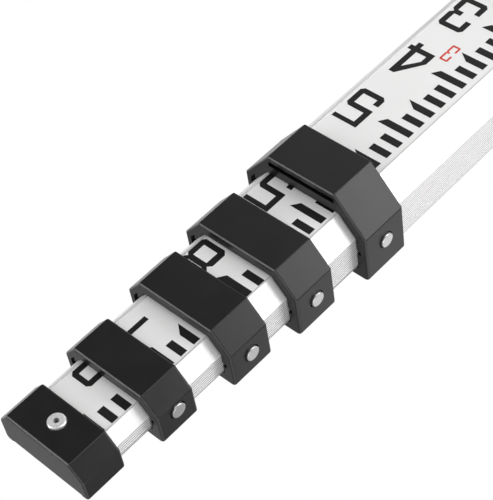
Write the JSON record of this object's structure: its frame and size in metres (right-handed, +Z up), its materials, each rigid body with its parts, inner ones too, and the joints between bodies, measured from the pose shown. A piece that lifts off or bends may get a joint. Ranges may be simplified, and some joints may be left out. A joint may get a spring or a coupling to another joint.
{
  "type": "leveling staff",
  "caption": "Telescopic leveling staff of nested aluminium sections with a graduated face, black collars with side release buttons, a riveted end cap and a flat base shoe.",
  "frame": {"origin": "middle of the base shoe's flat underside, on the axis of the nested sections", "axes": "+Z up the staff from the foot to the cap, -Y the direction the scale faces look, -X the side with the release buttons"},
  "size_m": [0.0568, 0.0374, 1.2349],
  "materials": {
    "anodised_tube": "satin silver anodised, white enamelled scale face",
    "black_moulding": "fine matt moulded",
    "bright_metal": "satin",
    "lever_steel": "plain",
    "spring_steel": "plain",
    "white_moulding": "moulded"
  },
  "bodies": {
    "base": {"base_section": "anodised_tube", "collar_1": "black_moulding", "lever_spring_1": "spring_steel", "base_shoe": "black_moulding", "shoe_rivets": "bright_metal"},
    "section_2": {"section_2": "anodised_tube", "collar_2": "black_moulding", "lever_spring_2": "spring_steel", "guide_plug_2": "white_moulding"},
    "section_3": {"section_3": "anodised_tube", "collar_3": "black_moulding", "lever_spring_3": "spring_steel", "guide_plug_3": "white_moulding"},
    "section_4": {"section_4": "anodised_tube", "collar_4": "black_moulding", "lever_spring_4": "spring_steel", "guide_plug_4": "white_moulding"},
    "section_5": {"section_5": "anodised_tube", "guide_plug_5": "white_moulding", "top_cap": "black_moulding", "cap_rivet": "bright_metal"},
    "button_1": {"release_button_1": "bright_metal"},
    "button_2": {"release_button_2": "bright_metal"},
    "button_3": {"release_button_3": "bright_metal"},
    "button_4": {"release_button_4": "bright_metal"},
    "lever_1": {"lock_lever_1": "lever_steel"},
    "lever_2": {"lock_lever_2": "lever_steel"},
    "lever_3": {"lock_lever_3": "lever_steel"},
    "lever_4": {"lock_lever_4": "lever_steel"}
  },
  "joints": [
    {"name": "section_2_slide", "type": "slide", "parent": "base", "child": "section_2", "axis": [0, 0, 1], "range_m": [0, 0.8667]},
    {"name": "section_3_slide", "type": "slide", "parent": "section_2", "child": "section_3", "axis": [0, 0, 1], "range_m": [0, 0.9677]},
    {"name": "section_4_slide", "type": "slide", "parent": "section_3", "child": "section_4", "axis": [0, 0, 1], "range_m": [0, 0.8478]},
    {"name": "section_5_slide", "type": "slide", "parent": "section_4", "child": "section_5", "axis": [0, 0, 1], "range_m": [0, 0.962]},
    {"name": "button_1_press", "type": "slide", "parent": "base", "child": "button_1", "axis": [1, 0, 0], "range_m": [0, 0.0006], "stiffness_N_per_m": 1500},
    {"name": "lever_1_tilt", "type": "hinge", "parent": "base", "child": "lever_1", "pos_m": [-0.026, 0.0034, 1.0997], "axis": [0, -1, 0], "range_deg": [0, 14.33], "deforming": ["lever_spring_1"]},
    {"name": "button_2_press", "type": "slide", "parent": "section_2", "child": "button_2", "axis": [1, 0, 0], "range_m": [0, 0.0006], "stiffness_N_per_m": 1500},
    {"name": "lever_2_tilt", "type": "hinge", "parent": "section_2", "child": "lever_2", "pos_m": [-0.024, 0.0035, 1.13415], "axis": [0, -1, 0], "range_deg": [0, 14.33], "deforming": ["lever_spring_2"]},
    {"name": "button_3_press", "type": "slide", "parent": "section_3", "child": "button_3", "axis": [1, 0, 0], "range_m": [0, 0.0006], "stiffness_N_per_m": 1500},
    {"name": "lever_3_tilt", "type": "hinge", "parent": "section_3", "child": "lever_3", "pos_m": [-0.022, 0.0033, 1.16465], "axis": [0, -1, 0], "range_deg": [0, 14.33], "deforming": ["lever_spring_3"]},
    {"name": "button_4_press", "type": "slide", "parent": "section_4", "child": "button_4", "axis": [1, 0, 0], "range_m": [0, 0.0006], "stiffness_N_per_m": 1500},
    {"name": "lever_4_tilt", "type": "hinge", "parent": "section_4", "child": "lever_4", "pos_m": [-0.02, 0.0006, 1.1974], "axis": [0, -1, 0], "range_deg": [0, 14.33], "deforming": ["lever_spring_4"]}
  ],
  "couplings": [
    {"joint": "lever_1_tilt", "follows": "button_1_press", "rad_per_m": 416.67},
    {"joint": "lever_2_tilt", "follows": "button_2_press", "rad_per_m": 416.67},
    {"joint": "lever_3_tilt", "follows": "button_3_press", "rad_per_m": 416.67},
    {"joint": "lever_4_tilt", "follows": "button_4_press", "rad_per_m": 416.67}
  ]
}
